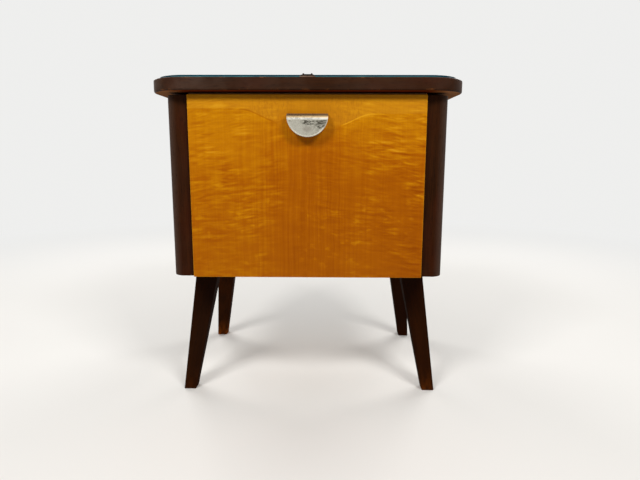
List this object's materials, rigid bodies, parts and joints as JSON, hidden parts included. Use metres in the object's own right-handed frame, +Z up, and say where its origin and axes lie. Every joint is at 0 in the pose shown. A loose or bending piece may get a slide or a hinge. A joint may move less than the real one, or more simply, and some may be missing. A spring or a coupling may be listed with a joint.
{
  "type": "sewing table",
  "caption": "Small sewing cabinet on splayed tapered legs: glass-covered rounded top, honey birch front that tips out with a bin and a sliding tray, half-moon metal pull.",
  "frame": {"origin": "on the floor, under the middle of the top", "axes": "+Z up, +X to the right of someone facing the front, front faces -Y"},
  "size_m": [0.5, 0.4, 0.5537],
  "materials": {
    "dark_wood": "dark brown stained wood, worn satin lacquer",
    "honey_birch": "flamed birch veneer under a glossy amber lacquer",
    "pale_wood": "plain beech and birch plywood, matt",
    "glass": "clear float glass, dark petrol at its edge",
    "nickel": "worn nickel plate with dark patina",
    "steel": "bare turned steel",
    "brass": "turned brass, dull",
    "bronze": "brown patinated brass sheet"
  },
  "bodies": {
    "cabinet": {"back_panel": "dark_wood", "bottom_board": "pale_wood", "front_clip_left_pin": "bronze", "front_clip_right_pin": "bronze", "front_glass_clip": "bronze", "front_left_leg": "dark_wood", "front_left_leg_bolt": "steel", "front_left_post": "dark_wood", "front_left_top_screw": "steel", "front_right_leg": "dark_wood", "front_right_leg_bolt": "steel", "front_right_post": "dark_wood", "front_right_top_screw": "steel", "glass_plate": "glass", "left_leg_batten": "dark_wood", "left_pivot_bush": "brass", "left_side_panel": "dark_wood", "rear_clip_left_pin": "bronze", "rear_clip_right_pin": "bronze", "rear_glass_clip": "bronze", "rear_left_leg": "dark_wood", "rear_left_leg_bolt": "steel", "rear_left_post": "dark_wood", "rear_left_top_screw": "steel", "rear_right_leg": "dark_wood", "rear_right_leg_bolt": "steel", "rear_right_post": "dark_wood", "rear_right_top_screw": "steel", "right_leg_batten": "dark_wood", "right_pivot_bush": "brass", "right_side_panel": "dark_wood", "top_board": "dark_wood", "upper_board": "pale_wood"},
    "tilt_front": {"bin_back": "pale_wood", "bin_floor": "pale_wood", "bin_left_side": "pale_wood", "bin_right_side": "pale_wood", "front_panel": "honey_birch", "half_moon_pull": "nickel", "left_pivot_pin": "steel", "left_pull_screw": "steel", "left_stop_peg": "pale_wood", "left_tray_runner": "pale_wood", "right_pivot_pin": "steel", "right_pull_screw": "steel", "right_stop_peg": "pale_wood", "right_tray_runner": "pale_wood"},
    "sewing_tray": {"spool_peg_1": "pale_wood", "spool_peg_2": "pale_wood", "spool_peg_3": "pale_wood", "spool_peg_4": "pale_wood", "tray_back": "pale_wood", "tray_cross_divider": "pale_wood", "tray_divider": "pale_wood", "tray_floor": "pale_wood", "tray_front": "pale_wood", "tray_left_side": "pale_wood", "tray_right_side": "pale_wood"}
  },
  "joints": [
    {"name": "front_tilt", "type": "hinge", "parent": "cabinet", "child": "tilt_front", "pos_m": [0, -0.15, 0.2565], "axis": [1, 0, 0], "range_deg": [0, 45]},
    {"name": "tray_slide", "type": "slide", "parent": "tilt_front", "child": "sewing_tray", "axis": [0, 1, 0], "range_m": [0, 0.075]}
  ]
}
